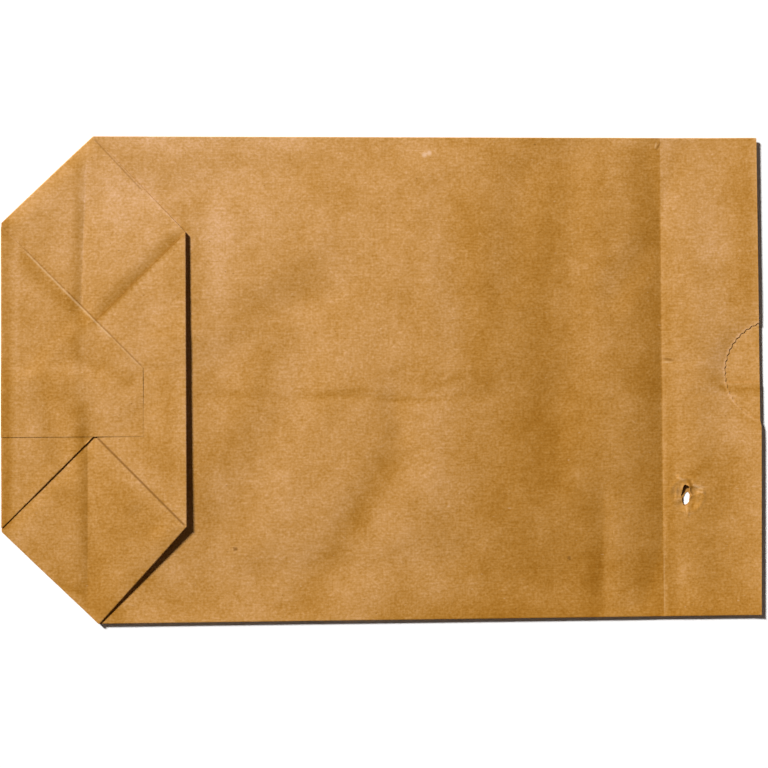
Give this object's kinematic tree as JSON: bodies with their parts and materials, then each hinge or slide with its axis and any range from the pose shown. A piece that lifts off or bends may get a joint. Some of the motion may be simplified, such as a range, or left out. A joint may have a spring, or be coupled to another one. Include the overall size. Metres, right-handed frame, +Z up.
{
  "type": "paper bag",
  "caption": "Brown kraft paper lunch bag with a folded cross bottom and a thumb notch, empty and lying flat.",
  "frame": {"origin": "centre of the bag's footprint, on the surface that it lies on", "axes": "+X along the bag from its folded bottom to its mouth, +Y across it, +Z up through its plies"},
  "size_m": [0.25, 0.1596, 0.0031],
  "materials": {
    "kraft_paper": "unbleached brown kraft, machine finished, matte with a faint sheen, fibrous and lightly creased"
  },
  "bodies": {
    "root": {"paper_bag": "kraft_paper"}
  },
  "joints": []
}
